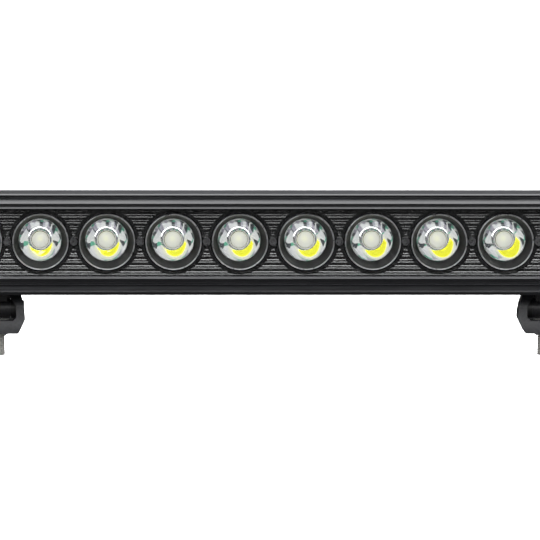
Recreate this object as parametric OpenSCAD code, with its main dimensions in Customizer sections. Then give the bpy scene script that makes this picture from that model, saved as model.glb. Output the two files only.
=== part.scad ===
// Single-row LED light bar with two swivel feet, in millimetres.
// X runs along the bar, the light shines towards -Y, and +Z is up.
// The origin is midway between the two mounting studs, on the plane that their collars bear on.

/* [Light row] */
// Number of LEDs in the row
led_count = 10; // [8:2:12]
// Distance from one LED to the next
led_pitch = 40; // [40:1:44]
// Housing length beyond the last half pitch
end_margin = 5; // [5:1:12]

/* [Housing] */
// Height of the front lips, over both edges
bar_h = 63.5; // [62.5:0.5:65]
// Depth from the front lips to the rear fins
bar_d = 72; // [72:1:80]
// Height of each front lip
lip_h = 11.4; // [11.4:0.1:11.7]
// Thickness of the outer walls
wall = 3; // [2.5:0.1:3.2]
// Thickness of each cooling fin
fin_t = 2; // [1.5:0.1:2.4]
// Distance from one fin to the next
fin_pitch = 5.2; // [5:0.1:6]
// Thickness of the end caps
cap_t = 12; // [10:1:16]
// Thickness of the rubber sheet behind each cap
gasket_t = 1; // [0.5:0.1:1.5]

/* [Cups and optics] */
// Outer radius of a cup's rim
rim_r = 16.95; // [16.5:0.05:16.95]
// Depth of the rims behind the front plane
rim_d = 7; // [7:0.1:7.2]
// Radius of the clear lens at the bottom of a cup
optic_r = 12.85; // [12:0.05:12.85]
// Depth of the clear lens behind the front plane
optic_d = 23.5; // [22:0.5:24]
// Depth of the LED board behind the front plane
board_d = 35; // [35:0.5:36]
// Radius of the clearance cut in the ribbed plate round each cup
moat_r = 19.6; // [19:0.1:19.6]

/* [T-slot and shoes] */
// Width of the slot's mouth
slot_mouth = 9; // [9:0.1:10]
// Width inside the slot
slot_w = 16.4; // [16:0.1:17]
// Height inside the slot
slot_h = 5.6; // [5:0.1:5.6]
// Length of a shoe in the slot
shoe_l = 44; // [40:1:60]
// Distance from the housing's end to each foot
foot_inset = 40; // [36:1:60]

/* [Feet] */
// Height of a foot's top plane, where the housing's underside is, above its base
foot_h = 25.2; // [25:0.1:27]
// Height of the pivot above the base of the foot
pivot_h = 14.6; // [14.4:0.1:14.8]
// Depth of the foot's base, front to back
foot_d = 26; // [24:1:30]
// Radius of the pivot bolt
pivot_r = 2.5; // [2:0.1:2.5]
// Radius of the mounting stud
stud_r = 4; // [3:0.5:4]
// Length of stud below the collar
stud_l = 12; // [10:0.5:40]
// Height of the collar under each foot
collar_h = 1.8; // [1.5:0.1:2.5]

/* [Hidden] */
$fn = 48;

// Overall places
housing_l = led_count * led_pitch + 2 * end_margin;
under_z = collar_h + foot_h;
mid_z = under_z + bar_h / 2;
front_y = -bar_d / 2;
back_y = bar_d / 2;
half_h = bar_h / 2;
channel_half = half_h - lip_h;
foot_x = housing_l / 2 - foot_inset;
gap = 0.05;

// Front lips: distance from the outer edge, then depth behind the front plane
top_lip_profile = [
    [0, 4.0], [0.15, 3.6], [0.5, 3.3], [2.3, 2.9], [2.45, 2.5], [3.1, 1.8], [3.3, 1.8],
    [3.5, 3.2], [3.8, 3.2], [3.9, 2.9], [4.2, 2.5], [4.4, 2.4], [4.8, 3.4], [5.8, 3.4],
    [6.0, 2.6], [8.1, 0.7], [8.3, 0.7], [8.5, 2.2], [8.7, 1.5], [9.1, 1.4], [9.4, 2.6],
    [10.0, 2.6], [10.1, 1.0], [10.9, 0.1], [11.0, 0]
];
bottom_lip_profile = [
    [0, 4.0], [0.15, 3.6], [1.9, 2.2], [2.1, 2.1], [2.6, 2.6], [2.7, 3.4], [5.4, 3.4],
    [5.8, 3.0], [6.2, 2.4], [6.4, 2.3], [7.3, 3.1], [7.4, 3.6], [8.2, 3.6], [8.4, 2.4],
    [9.6, 2.0], [9.75, 0.9], [10.0, 0.2], [10.15, 0], [10.25, 0]
];
// How far each lip's inner edge is cut back
top_lip_nose = 0.5;
bottom_lip_nose = 1.3;
lip_back_d = 12;
lip_flare_d = 8.5;
cover_d = 4;
cover_t = 2.5;
cover_bite = 1.4;
cover_gasket_t = 0.7;

// Body behind the lips
body_top = half_h - 5;
corner_r = 14;
corner_steps = 8;
pad_t = 0.4;
board_t = 1.6;
web_y = front_y + board_d + board_t + pad_t;
web_t = 5;
cavity_d = 16;
cavity_half = 18;
cavity_y = web_y + web_t;
back_wall_y = cavity_y + cavity_d + wall;
slot_lip = 2.4;
slot_land = 11;

// Screw ports for the end caps, as [y, height over the bar's middle]
ports = [
    [front_y + 7.5, half_h - 5], [front_y + 7.5, 5 - half_h],
    [cavity_y + cavity_d - 1, cavity_half - 1], [cavity_y + cavity_d - 1, 1 - cavity_half]
];
port_r = 1.7;
port_wall_r = 3.4;
cap_screw_r = 1.65;
cap_screw_l = 20;
cap_head_r = 3;
cap_head_h = 3.2;
cap_clearance = 0.3;
socket_r = 1.75;

// Ribbed face plate
rib_pitch = 3.6;
rib_count = 5;
rib_face = 2.5;
rib_rise = 1.2;
rib_step = 0.9;
rib_start_d = 7.4;
plate_back_d = 15;
moat_floor_d = 13.2;
plate_half = channel_half - 0.15;
plate_l = housing_l - 2;
boss_r = 2.95;
boss_top_d = 10.6;
boss_pocket_r = 2.6;
boss_floor_d = 12.6;
pillar_r = 2.2;
plate_screw_r = 1.25;
plate_screw_head_r = 2.35;
plate_screw_head_h = 1.5;
plate_screw_socket_r = 1.1;
plate_screw_end_d = 41;

// Cups
cup_wall = 0.8;
cup_flange_r = 17.6;
cup_flange_t = 1.4;
cup_tail_r = 15.2;
cup_foot_r = 14.2;
cup_foot_in_r = 9;
seat_h = 1.25;
seat_ledge = 0.9;

// Clear collimating lens
optic_flange_t = 1.2;
optic_l = 10.3;
optic_back_r = 6.2;
optic_cavity_r = 4.2;
optic_cavity_d = 5.2;
optic_crown_d = 4.4;
dome_r = 5;
dome_h = 1.6;
dome_groove_d = 2.4;
dome_groove_w = 0.8;

// LED
package_w = 4;
package_t = 0.8;
led_dome_r = 1.6;
led_board_half = 19;
led_screw_v = 15.5;
led_screw_xs = [for (k = [-1:1]) k * (led_count / 2 - 1) * led_pitch];
led_screw_r = 1.45;
led_screw_head_r = 2.75;
led_screw_head_h = 1.6;
lead_x = led_pitch * 0.75;
lead_v = -13;
lead_gap = 1.1;
lead_hole_r = 2.4;
lead_r = 0.75;

// Driver
driver_l = 156;
driver_w = 32;
standoff_h = 3.2;
standoff_r = 2.5;
driver_hole_x = 72;
driver_hole_v = 11;
driver_screw_r = 1.45;
driver_screw_bite = 3.5;
driver_back_y = cavity_y + standoff_h + board_t;

// Power inlet and vent on the back
inlet_x = -housing_l / 2 + 55;
inlet_pocket_r = 13;
inlet_flange_r = 11;
inlet_flange_t = 3.5;
inlet_barrel_r = 7;
inlet_barrel_l = 9;
inlet_bore_r = 5.4;
inlet_stem_r = 6;
inlet_seal_t = 0.8;
inlet_nut_t = 3;
inlet_nut_r = 9;
inlet_tail = 0.5;
inlet_core_l = 12;
pin_half = 2.2;
pin_r = 0.8;
pin_l = 15;
inlet_tail_d = wall + inlet_nut_t + inlet_tail;
vent_x = inlet_x + 34;
vent_pocket_r = 8;
vent_r = 5.5;
vent_t = 2.6;
vent_seal_t = 0.6;
vent_stem_r = 3;
vent_stem_tail = 2;
vent_bore_r = 1.2;
vent_slot_r = 0.5;

// Shoe and foot
fit = 0.1;
neck_half_x = 5.15;
barrel_r = 6.2;
barrel_half = 7.2;
// Thin web that widens the neck down to the barrel
shoe_web_half = 7;
shoe_web_t = 3;
lock_screw_x = 15;
lock_screw_r = 2;
pivot_z = collar_h + pivot_h;
foot_half = 16;
foot_side_r = 40.6;
foot_side_z = collar_h + 8.4;
foot_base_half = 11.6;
foot_base_edge = 12.4;
foot_top_r = 10;
window_half = 10.6;
window_floor_z = collar_h + 7.8;
window_chamfer = 2;
window_shoulder_z = pivot_z + 1.8;
window_neck_z = pivot_z + 9;
window_neck_half = 5.4;
base_side_h = 4.8;
bolt_head_r = 4.75;
bolt_head_h = 2.7;
bolt_head_x = 12.8;
nut_r = 4.6;
nut_t = 2.7;
nut_x = 12.6;
spacer_r = 6.1;
stud_shank_r = stud_r + 0.3;
stud_head_r = 7.5;
stud_head_h = 5.3;
stud_chamfer = 0.8;
collar_top_r = 6.6;
collar_bottom_r = 4.9;
lens_alpha = 0.35;

function led_x(i) = (i - (led_count - 1) / 2) * led_pitch;

// Outlines always run counter-clockwise, so that touching ones fuse into one section
function turn(p, i) = let (q = p[(i + 1) % len(p)]) p[i][0] * q[1] - q[0] * p[i][1];
function signed_area(p, i = 0) = i == len(p) ? 0 : turn(p, i) + signed_area(p, i + 1);
function ccw(p) = signed_area(p) > 0 ? p : [for (i = [len(p) - 1:-1:0]) p[i]];
function flipped(p, top) = ccw([for (q = p) [q[0], top ? q[1] : -q[1]]]);

// Points along an arc about [cy, cz]
function arc(cy, cz, r, a0, a1, n) =
    [for (i = [0:n]) let (a = a0 + (a1 - a0) * i / n) [cy + r * cos(a), cz + r * sin(a)]];

// Outline of the body's top, back and underside, as [y, height over the bar's middle]
body_outline = ccw(concat(
    [[front_y + lip_back_d, body_top]],
    arc(back_y - corner_r, body_top - corner_r, corner_r, 90, 0, corner_steps),
    arc(back_y - corner_r, corner_r - half_h, corner_r, 0, -90, corner_steps),
    [[front_y + lip_back_d, -half_h]]
));

// The rear of a lip: the top lip slopes down to the body, the bottom lip runs on level with it
function lip_rear(top) = [
    [front_y + lip_back_d, channel_half], [front_y + lip_back_d, top ? body_top : half_h],
    [front_y + lip_flare_d, half_h - (top ? 0.5 : 0)]
];

// Plain outline of one lip, without its grooves
function lip_outline(top) = concat(
    [[front_y + top_lip_profile[0][1], half_h], [front_y, channel_half + 0.6]],
    [[front_y, channel_half]],
    lip_rear(top)
);

// An outline in the Y-Z plane, drawn about the bar's middle height, extruded along X
module along_bar(length, x = 0)
    translate([x - length / 2, 0, mid_z])
        rotate([90, 0, 90])
            linear_extrude(length)
                children();

// Turns children to look backwards from the front plane at the given depth
module at_depth(x, v, d)
    translate([x, front_y + d, mid_z + v])
        rotate([-90, 0, 0])
            children();

module at_cups(d)
    for (i = [0:led_count - 1])
        at_depth(led_x(i), 0, d)
            children();

// Midway between cups, and just past the last cup at each end
module between_cups(d)
    for (i = [0:led_count])
        at_depth((i - led_count / 2) * led_pitch, 0, d)
            children();

module box2(y0, y1, v0, v1)
    translate([y0, v0])
        square([y1 - y0, v1 - v0]);

// ---- Housing ----

module lip_2d(top) {
    profile = top ? top_lip_profile : bottom_lip_profile;
    nose = top ? top_lip_nose : bottom_lip_nose;
    polygon(flipped(concat(
        [for (p = profile) [front_y + p[1], half_h - p[0]]],
        [[front_y + nose, channel_half]],
        lip_rear(top)
    ), top));
}

module fins_2d() {
    intersection() {
        polygon(body_outline);
        union() {
            for (k = [-4:4])
                box2(back_wall_y - 1, back_y + 1, k * fin_pitch, k * fin_pitch + fin_t);
            for (k = [0:9])
                let (y = front_y + lip_back_d + 4 + k * fin_pitch)
                    box2(y, y + fin_t, channel_half, half_h);
            for (y = concat(
                [for (k = [0:3]) slot_land + 3 + k * fin_pitch],
                [for (k = [0:1]) -slot_land - 3 - k * fin_pitch]
            ))
                box2(y - fin_t / 2, y + fin_t / 2, -half_h, -channel_half);
        }
    }
}

module housing_2d() {
    difference() {
        union() {
            lip_2d(true);
            lip_2d(false);
            fins_2d();
            // channel walls, board seat, cavity walls and the land that holds the T-slot
            box2(front_y + lip_back_d, cavity_y, channel_half, channel_half + wall);
            box2(front_y + lip_back_d, back_wall_y - wall, -channel_half - wall, -channel_half);
            box2(web_y, cavity_y, -channel_half, channel_half);
            box2(web_y, back_wall_y, cavity_half, cavity_half + wall);
            box2(web_y, back_wall_y, -channel_half - wall, -cavity_half);
            box2(back_wall_y - wall, back_wall_y, -cavity_half - wall, cavity_half + wall);
            box2(-slot_land, slot_land, -half_h, -channel_half);
            for (p = ports)
                translate(p)
                    circle(port_wall_r);
        }
        box2(-slot_mouth / 2, slot_mouth / 2, -half_h - 1, -half_h + slot_lip + 1);
        box2(-slot_w / 2, slot_w / 2, -half_h + slot_lip, -half_h + slot_lip + slot_h);
        box2(
            front_y + cover_d, front_y + cover_d + cover_t + cover_gasket_t + gap,
            -channel_half - cover_bite, channel_half + cover_bite
        );
        for (p = ports)
            translate(p)
                circle(port_r);
    }
}

module housing() {
    color("#1b1c1f")
        difference() {
            along_bar(housing_l)
                housing_2d();
            between_cups(board_d)
                cylinder(h = plate_screw_end_d - board_d + 0.5, r = plate_screw_r + gap);
            led_screws_at(board_d)
                cylinder(h = plate_screw_end_d - board_d + 0.5, r = led_screw_r + gap);
            driver_holes_at(cavity_y - driver_screw_bite - 0.5)
                cylinder(h = driver_screw_bite + 1, r = driver_screw_r + gap);
            at_depth(lead_x, lead_v, board_d)
                cylinder(h = 10, r = lead_hole_r);
            at_back(inlet_x)
                cylinder(h = bar_d, r = inlet_pocket_r);
            translate([0, -wall - 1, 0])
                at_back(inlet_x)
                    cylinder(h = wall + 2, r = inlet_stem_r + gap);
            at_back(vent_x)
                cylinder(h = bar_d, r = vent_pocket_r);
            translate([0, -wall - 1, 0])
                at_back(vent_x)
                    cylinder(h = wall + 2, r = vent_stem_r + gap);
        }
}

// On the outside of the back wall, looking backwards
module at_back(x)
    translate([x, back_wall_y, mid_z])
        rotate([-90, 0, 0])
            children();

// ---- End caps ----

module cap_outline_2d() {
    union() {
        polygon(flipped(lip_outline(true), true));
        polygon(flipped(lip_outline(false), false));
        box2(front_y, front_y + lip_back_d, -channel_half, channel_half);
        polygon(body_outline);
    }
}

module end_cap(side) {
    color("#17181a")
        difference() {
            along_bar(cap_t, side * (housing_l / 2 + gasket_t + cap_t / 2))
                cap_outline_2d();
            for (p = ports) {
                cap_screw_at(side, p, 0)
                    cylinder(h = cap_t + gasket_t, r = cap_screw_r + cap_clearance);
                cap_screw_at(side, p, cap_t + gasket_t - cap_head_h)
                    cylinder(h = cap_head_h + 1, r = cap_head_r + cap_clearance);
            }
        }
}

// Looks outwards along X from the housing's end, raised by the given height
module cap_screw_at(side, port, h)
    translate([side * (housing_l / 2 + h), port[0], mid_z + port[1]])
        rotate([0, side * 90, 0])
            children();

module end_gasket(side) {
    color("#0c0c0c")
        difference() {
            along_bar(gasket_t, side * (housing_l / 2 + gasket_t / 2))
                difference() {
                    cap_outline_2d();
                    box2(front_y + lip_back_d, web_y, -channel_half + 1, channel_half - 1);
                    box2(cavity_y, cavity_y + cavity_d, -10, 10);
                }
            for (p = ports)
                cap_screw_at(side, p, -1)
                    cylinder(h = gasket_t + 2, r = cap_screw_r + cap_clearance);
        }
}

module end_cap_screws() {
    color("#3a3a3c")
        for (side = [-1, 1], p = ports) {
            cap_screw_at(side, p, cap_t + gasket_t - cap_head_h - cap_screw_l)
                cylinder(h = cap_screw_l, r = cap_screw_r);
            cap_screw_at(side, p, cap_t + gasket_t - cap_head_h)
                difference() {
                    cylinder(h = cap_head_h - 0.3, r = cap_head_r);
                    translate([0, 0, cap_head_h / 2])
                        cylinder(h = cap_head_h, r = socket_r, $fn = 6);
                }
        }
}

// ---- Front: ribbed plate, cups, lenses, cover ----

// One half of the ribs, from the channel wall to the middle: the ribs step back towards the LEDs
rib_points = [
    for (i = [0:rib_count - 1], k = [0:1])
        [
            front_y + rib_start_d + i * rib_step + (k == 1 ? rib_rise : 0),
            plate_half - i * rib_pitch - (k == 1 ? rib_face : 0)
        ]
];
rib_middle_y = front_y + rib_start_d + rib_count * rib_step;

module face_plate() {
    color("#121314")
        difference() {
            union() {
                difference() {
                    along_bar(plate_l)
                        for (m = [0, 1])
                            mirror([0, m])
                                polygon(concat(
                                    rib_points,
                                    [
                                        [rib_middle_y, plate_half - rib_count * rib_pitch],
                                        [rib_middle_y, 0], [front_y + plate_back_d, 0],
                                        [front_y + plate_back_d, plate_half]
                                    ]
                                ));
                    at_cups(0)
                        cylinder(h = moat_floor_d, r = moat_r);
                    at_cups(0)
                        cylinder(h = plate_back_d + 1, r = rim_r + gap);
                }
                between_cups(boss_top_d)
                    cylinder(h = plate_back_d - boss_top_d, r = boss_r);
                between_cups(plate_back_d - 0.5)
                    cylinder(h = board_d - plate_back_d + 0.5, r = pillar_r);
            }
            between_cups(0)
                cylinder(h = boss_floor_d, r = boss_pocket_r);
            between_cups(0)
                cylinder(h = board_d + 1, r = plate_screw_r + gap);
        }
}

module face_plate_screws() {
    color("#5a5b5e")
        between_cups(boss_floor_d - plate_screw_head_h)
            difference() {
                union() {
                    cylinder(h = plate_screw_head_h, r = plate_screw_head_r);
                    cylinder(h = plate_screw_end_d - boss_floor_d + plate_screw_head_h, r = plate_screw_r);
                }
                translate([0, 0, -1])
                    cylinder(h = 1 + plate_screw_head_h * 0.6, r = plate_screw_socket_r, $fn = 6);
            }
}

module cups() {
    seat = optic_d - rim_d;
    flange = plate_back_d - rim_d + gap;
    foot = board_d - rim_d;
    color("#141518")
        at_cups(rim_d)
            rotate_extrude()
                polygon([
                    [rim_r - cup_wall, 0], [rim_r, 0], [rim_r, flange], [cup_flange_r, flange],
                    [cup_flange_r, flange + cup_flange_t], [cup_tail_r, flange + cup_flange_t],
                    [cup_foot_r, foot], [cup_foot_in_r, foot],
                    [optic_r - seat_ledge, seat + seat_h], [optic_r + gap, seat + seat_h],
                    [optic_r + gap, seat]
                ]);
}

// Half section of the collimating lens, as [radius, depth behind its front]
optic_side = [
    for (i = [0:6])
        let (t = i / 6, r0 = optic_r - seat_ledge - gap)
            [
                sqrt(pow(optic_back_r, 2) + (pow(r0, 2) - pow(optic_back_r, 2)) * (1 - t)),
                optic_flange_t + (optic_l - optic_flange_t) * t
            ]
];
optic_dome = [for (a = [0:15:90]) [dome_r * sin(a), dome_h * (1 - cos(a))]];

module optics() {
    color("#dfe6ea", lens_alpha)
        at_cups(optic_d)
            rotate_extrude()
                polygon(concat(
                    optic_dome,
                    [
                        [dome_r, dome_groove_d], [dome_r + dome_groove_w, dome_groove_d],
                        [dome_r + dome_groove_w, 0], [optic_r, 0], [optic_r, optic_flange_t]
                    ],
                    optic_side,
                    [
                        [optic_cavity_r, optic_l], [optic_cavity_r, optic_cavity_d],
                        [0, optic_crown_d]
                    ]
                ));
}

module lens_cover() {
    color("#e8edf0", lens_alpha)
        along_bar(housing_l)
            box2(
                front_y + cover_d + gap, front_y + cover_d + cover_t,
                -channel_half - cover_bite + gap, channel_half + cover_bite - gap
            );
}

module lens_gaskets() {
    color("#0c0c0c")
        along_bar(housing_l)
            for (m = [0, 1])
                mirror([0, m])
                    box2(
                        front_y + cover_d + cover_t, front_y + cover_d + cover_t + cover_gasket_t,
                        channel_half + 0.1, channel_half + cover_bite - gap
                    );
}

// ---- LED board ----

module led_screws_at(d)
    for (x = led_screw_xs, v = [-led_screw_v, led_screw_v])
        at_depth(x, v, d)
            children();

module board_cuts(d)
    union() {
        between_cups(d)
            cylinder(h = 4, r = plate_screw_r + 0.3);
        led_screws_at(d)
            cylinder(h = 4, r = led_screw_r + 0.3);
    }

module led_board() {
    color("#1f7a55")
        difference() {
            along_bar(plate_l)
                box2(
                    front_y + board_d, front_y + board_d + board_t, -led_board_half, led_board_half
                );
            board_cuts(board_d - 1);
        }
}

module thermal_pad() {
    color("#8b8f96")
        difference() {
            along_bar(plate_l)
                box2(front_y + board_d + board_t, web_y, -led_board_half, led_board_half);
            board_cuts(board_d);
            at_depth(lead_x, lead_v, board_d)
                cylinder(h = 4, r = lead_hole_r);
        }
}

module led_packages() {
    color("#f2e9b8")
        at_cups(board_d - package_t)
            translate([-package_w / 2, -package_w / 2, 0])
                cube([package_w, package_w, package_t]);
}

module led_domes() {
    color("#f4f2dc", lens_alpha)
        at_cups(board_d - package_t)
            difference() {
                sphere(led_dome_r);
                cylinder(h = 2 * led_dome_r, r = 2 * led_dome_r);
            }
}

module led_board_screws() {
    color("#9a9a98")
        led_screws_at(board_d - led_screw_head_h) {
            cylinder(h = led_screw_head_h, r = led_screw_head_r);
            cylinder(h = plate_screw_end_d - board_d + led_screw_head_h, r = led_screw_r);
        }
}

// ---- Driver in the rear cavity ----

module driver_holes_at(y)
    for (x = [-driver_hole_x, driver_hole_x], v = [-driver_hole_v, driver_hole_v])
        translate([x, y, mid_z + v])
            rotate([-90, 0, 0])
                children();

module on_driver(x, v)
    translate([x, driver_back_y, mid_z + v])
        rotate([-90, 0, 0])
            children();

module driver_board() {
    color("#1d5c3c")
        difference() {
            along_bar(driver_l)
                box2(driver_back_y - board_t, driver_back_y, -driver_w / 2, driver_w / 2);
            driver_holes_at(cavity_y)
                cylinder(h = 10, r = driver_screw_r + gap);
        }
}

module driver_standoffs() {
    color("#c0b070")
        driver_holes_at(cavity_y)
            difference() {
                cylinder(h = standoff_h, r = standoff_r);
                translate([0, 0, -1])
                    cylinder(h = standoff_h + 2, r = driver_screw_r + gap);
            }
}

module driver_screws() {
    color("#9a9a98")
        driver_holes_at(cavity_y - driver_screw_bite) {
            cylinder(h = driver_screw_bite + standoff_h + board_t + 1, r = driver_screw_r);
            translate([0, 0, driver_screw_bite + standoff_h + board_t])
                cylinder(h = led_screw_head_h, r = led_screw_head_r);
        }
}

module driver_inductors() {
    color("#7a4a22")
        for (x = [-38, 12])
            on_driver(x, 0)
                rotate_extrude()
                    translate([5.6, 3.4])
                        circle(r = 3.2);
}

module driver_capacitors() {
    color("#24262b")
        for (x = [-60, -14, 44])
            on_driver(x, 6)
                cylinder(h = 8.5, r = 4);
}

module driver_chips() {
    color("#151515")
        for (x = [-26, 28, 58], v = [-9, 2])
            on_driver(x, v)
                translate([-3, -2.5, 0])
                    cube([6, 5, 1.6]);
}

// Straight leads from the driver through the board seat to the back of the LED board
module driver_leads() {
    start_y = front_y + board_d + board_t;
    color("#a02020")
        for (s = [-1, 1])
            translate([lead_x + s * lead_gap, start_y, mid_z + lead_v])
                rotate([-90, 0, 0])
                    cylinder(h = driver_back_y - board_t - start_y, r = lead_r);
}

// Leads from the inlet's pins, along the cavity and down onto the driver
module supply_leads() {
    run_y = driver_back_y + 4;
    pin_y = back_wall_y - inlet_tail_d;
    end_x = -driver_l / 2 + 6;
    color("#202020")
        for (s = [-1, 1])
            translate([0, 0, mid_z + s * pin_half]) {
                translate([inlet_x, run_y, 0])
                    rotate([-90, 0, 0])
                        cylinder(h = pin_y - run_y, r = lead_r);
                translate([inlet_x, run_y, 0])
                    sphere(lead_r);
                translate([inlet_x, run_y, 0])
                    rotate([0, 90, 0])
                        cylinder(h = end_x - inlet_x, r = lead_r);
                translate([end_x, run_y, 0])
                    sphere(lead_r);
                translate([end_x, driver_back_y, 0])
                    rotate([-90, 0, 0])
                        cylinder(h = run_y - driver_back_y, r = lead_r);
            }
}

// ---- Power inlet and vent ----

module inlet_body() {
    color("#303236")
        at_back(inlet_x)
            difference() {
                union() {
                    translate([0, 0, inlet_seal_t])
                        cylinder(h = inlet_flange_t, r = inlet_flange_r, $fn = 6);
                    translate([0, 0, inlet_seal_t])
                        cylinder(h = inlet_flange_t + inlet_barrel_l, r = inlet_barrel_r);
                    translate([0, 0, -inlet_tail_d])
                        cylinder(h = inlet_tail_d + 1, r = inlet_stem_r);
                }
                translate([0, 0, -inlet_tail_d - 1])
                    cylinder(h = 2 * inlet_pocket_r, r = inlet_bore_r);
            }
}

module inlet_nut() {
    color("#8d8f92")
        at_back(inlet_x)
            translate([0, 0, -wall - inlet_nut_t])
                difference() {
                    cylinder(h = inlet_nut_t, r = inlet_nut_r, $fn = 6);
                    translate([0, 0, -1])
                        cylinder(h = inlet_nut_t + 2, r = inlet_stem_r + gap);
                }
}

module inlet_seal() {
    color("#0c0c0c")
        at_back(inlet_x)
            difference() {
                cylinder(h = inlet_seal_t, r = inlet_flange_r - 1.8);
                translate([0, 0, -1])
                    cylinder(h = inlet_seal_t + 2, r = inlet_stem_r + gap);
            }
}

module inlet_core() {
    color("#1a1a1a")
        at_back(inlet_x)
            difference() {
                translate([0, 0, -inlet_tail_d])
                    cylinder(h = inlet_core_l, r = inlet_bore_r - gap);
                for (s = [-1, 1])
                    translate([0, s * pin_half, -inlet_tail_d - 1])
                        cylinder(h = inlet_core_l + 2, r = pin_r + gap);
            }
}

module inlet_pins() {
    color("#c9a54a")
        at_back(inlet_x)
            for (s = [-1, 1])
                translate([0, s * pin_half, -inlet_tail_d])
                    cylinder(h = pin_l, r = pin_r);
}

module breather_vent() {
    color("#26282b")
        at_back(vent_x)
            difference() {
                union() {
                    translate([0, 0, vent_seal_t])
                        cylinder(h = vent_t, r = vent_r);
                    translate([0, 0, -wall - vent_stem_tail])
                        cylinder(h = wall + vent_stem_tail + 1, r = vent_stem_r);
                }
                translate([0, 0, -wall - vent_stem_tail - 1])
                    cylinder(h = wall + vent_stem_tail + 2, r = vent_bore_r);
                for (a = [0:60:300])
                    rotate([0, 0, a])
                        translate([vent_r, 0, vent_seal_t + vent_t / 2])
                            rotate([0, 90, 0])
                                cylinder(h = 3, r = vent_slot_r, center = true);
            }
}

module vent_seal() {
    color("#0c0c0c")
        at_back(vent_x)
            difference() {
                cylinder(h = vent_seal_t, r = vent_r - 0.8);
                translate([0, 0, -1])
                    cylinder(h = vent_seal_t + 2, r = vent_stem_r + gap);
            }
}

// ---- Mounts: a shoe in the T-slot carries a foot on a pivot bolt ----

slot_floor_z = under_z + slot_lip;

// Looks along +X from the pivot's middle
module at_pivot(side, x)
    translate([side * foot_x + x, 0, pivot_z])
        rotate([0, 90, 0])
            children();

module shoe(side) {
    head_w = slot_w - 2 * fit;
    head_h = slot_h - 2 * fit;
    neck_w = slot_mouth - 2 * fit;
    color("#2a2b2e")
        difference() {
            union() {
                translate([side * foot_x - shoe_l / 2, -head_w / 2, slot_floor_z + fit])
                    cube([shoe_l, head_w, head_h]);
                translate([side * foot_x - neck_half_x, -neck_w / 2, pivot_z])
                    cube([2 * neck_half_x, neck_w, slot_floor_z + 1 - pivot_z]);
                translate([side * foot_x, shoe_web_t / 2, pivot_z])
                    rotate([90, 0, 0])
                        linear_extrude(shoe_web_t)
                            polygon([
                                [-shoe_web_half, 0], [shoe_web_half, 0],
                                [shoe_web_half, barrel_r], [neck_half_x, barrel_r + 3],
                                [-neck_half_x, barrel_r + 3], [-shoe_web_half, barrel_r]
                            ]);
                at_pivot(side, -barrel_half)
                    cylinder(h = 2 * barrel_half, r = barrel_r);
            }
            at_pivot(side, -foot_half)
                cylinder(h = 2 * foot_half, r = pivot_r + gap);
            lock_screws_at(side, slot_floor_z - 1)
                cylinder(h = slot_h + 2, r = lock_screw_r + gap);
        }
}

module lock_screws_at(side, z)
    for (s = [-1, 1])
        translate([side * foot_x + s * lock_screw_x, 0, z])
            children();

module shoe_lock_screws(side) {
    color("#4a4b4e")
        lock_screws_at(side, slot_floor_z + fit)
            difference() {
                cylinder(h = slot_h - 2 * fit, r = lock_screw_r);
                translate([0, 0, -1])
                    cylinder(h = 3, r = 1.15, $fn = 6);
            }
}

// Front view of a foot: bulging sides, slanted lower corners, and the window for the knuckle
module foot_front_2d() {
    top_z = pivot_z + foot_top_r;
    difference() {
        intersection() {
            translate([foot_half - foot_side_r, foot_side_z])
                circle(foot_side_r, $fn = 96);
            translate([foot_side_r - foot_half, foot_side_z])
                circle(foot_side_r, $fn = 96);
            polygon([
                [-foot_base_half, collar_h], [foot_base_half, collar_h],
                [foot_base_edge, collar_h + 0.9], [foot_half, foot_side_z],
                [foot_half, top_z + 1], [-foot_half, top_z + 1],
                [-foot_half, foot_side_z], [-foot_base_edge, collar_h + 0.9]
            ]);
        }
        polygon([
            [window_chamfer - window_half, window_floor_z],
            [window_half - window_chamfer, window_floor_z],
            [window_half, window_floor_z + window_chamfer], [window_half, window_shoulder_z],
            [window_neck_half, window_neck_z], [window_neck_half, top_z + 2],
            [-window_neck_half, top_z + 2], [-window_neck_half, window_neck_z],
            [-window_half, window_shoulder_z], [-window_half, window_floor_z + window_chamfer]
        ]);
    }
}

// Side view of a foot: a flat base that narrows to a round top about the pivot
module foot_side_2d() {
    union() {
        translate([0, pivot_z])
            circle(foot_top_r);
        polygon([
            [-foot_d / 2, collar_h], [foot_d / 2, collar_h],
            [foot_d / 2, collar_h + base_side_h], [foot_top_r, pivot_z],
            [-foot_top_r, pivot_z], [-foot_d / 2, collar_h + base_side_h]
        ]);
    }
}

module foot(side) {
    color("#1e1f22")
        difference() {
            intersection() {
                translate([side * foot_x, foot_d / 2, 0])
                    rotate([90, 0, 0])
                        linear_extrude(foot_d)
                            foot_front_2d();
                translate([side * foot_x - foot_half, 0, 0])
                    rotate([90, 0, 90])
                        linear_extrude(2 * foot_half)
                            foot_side_2d();
            }
            at_pivot(side, -foot_half - 1)
                cylinder(h = 2 * foot_half + 2, r = pivot_r + gap);
            at_pivot(side, -window_half)
                cylinder(h = 2 * window_half, r = spacer_r + fit);
            at_pivot(side, bolt_head_x)
                cylinder(h = foot_half, r = bolt_head_r + 0.15);
            at_pivot(side, -nut_x - foot_half)
                cylinder(h = foot_half, r = nut_r + 0.1, $fn = 6);
            translate([side * foot_x, 0, window_floor_z - stud_head_h])
                cylinder(h = stud_head_h + 1, r = stud_head_r + gap, $fn = 6);
            translate([side * foot_x, 0, 0])
                cylinder(h = window_floor_z, r = stud_shank_r + gap);
        }
}

module pivot_bolt(side) {
    color("#3a3b3e")
        difference() {
            union() {
                at_pivot(side, -nut_x - nut_t)
                    cylinder(h = nut_x + nut_t + bolt_head_x, r = pivot_r);
                at_pivot(side, bolt_head_x)
                    cylinder(h = bolt_head_h, r = bolt_head_r);
            }
            at_pivot(side, bolt_head_x + 1)
                cylinder(h = bolt_head_h, r = 1.75, $fn = 6);
        }
}

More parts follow.
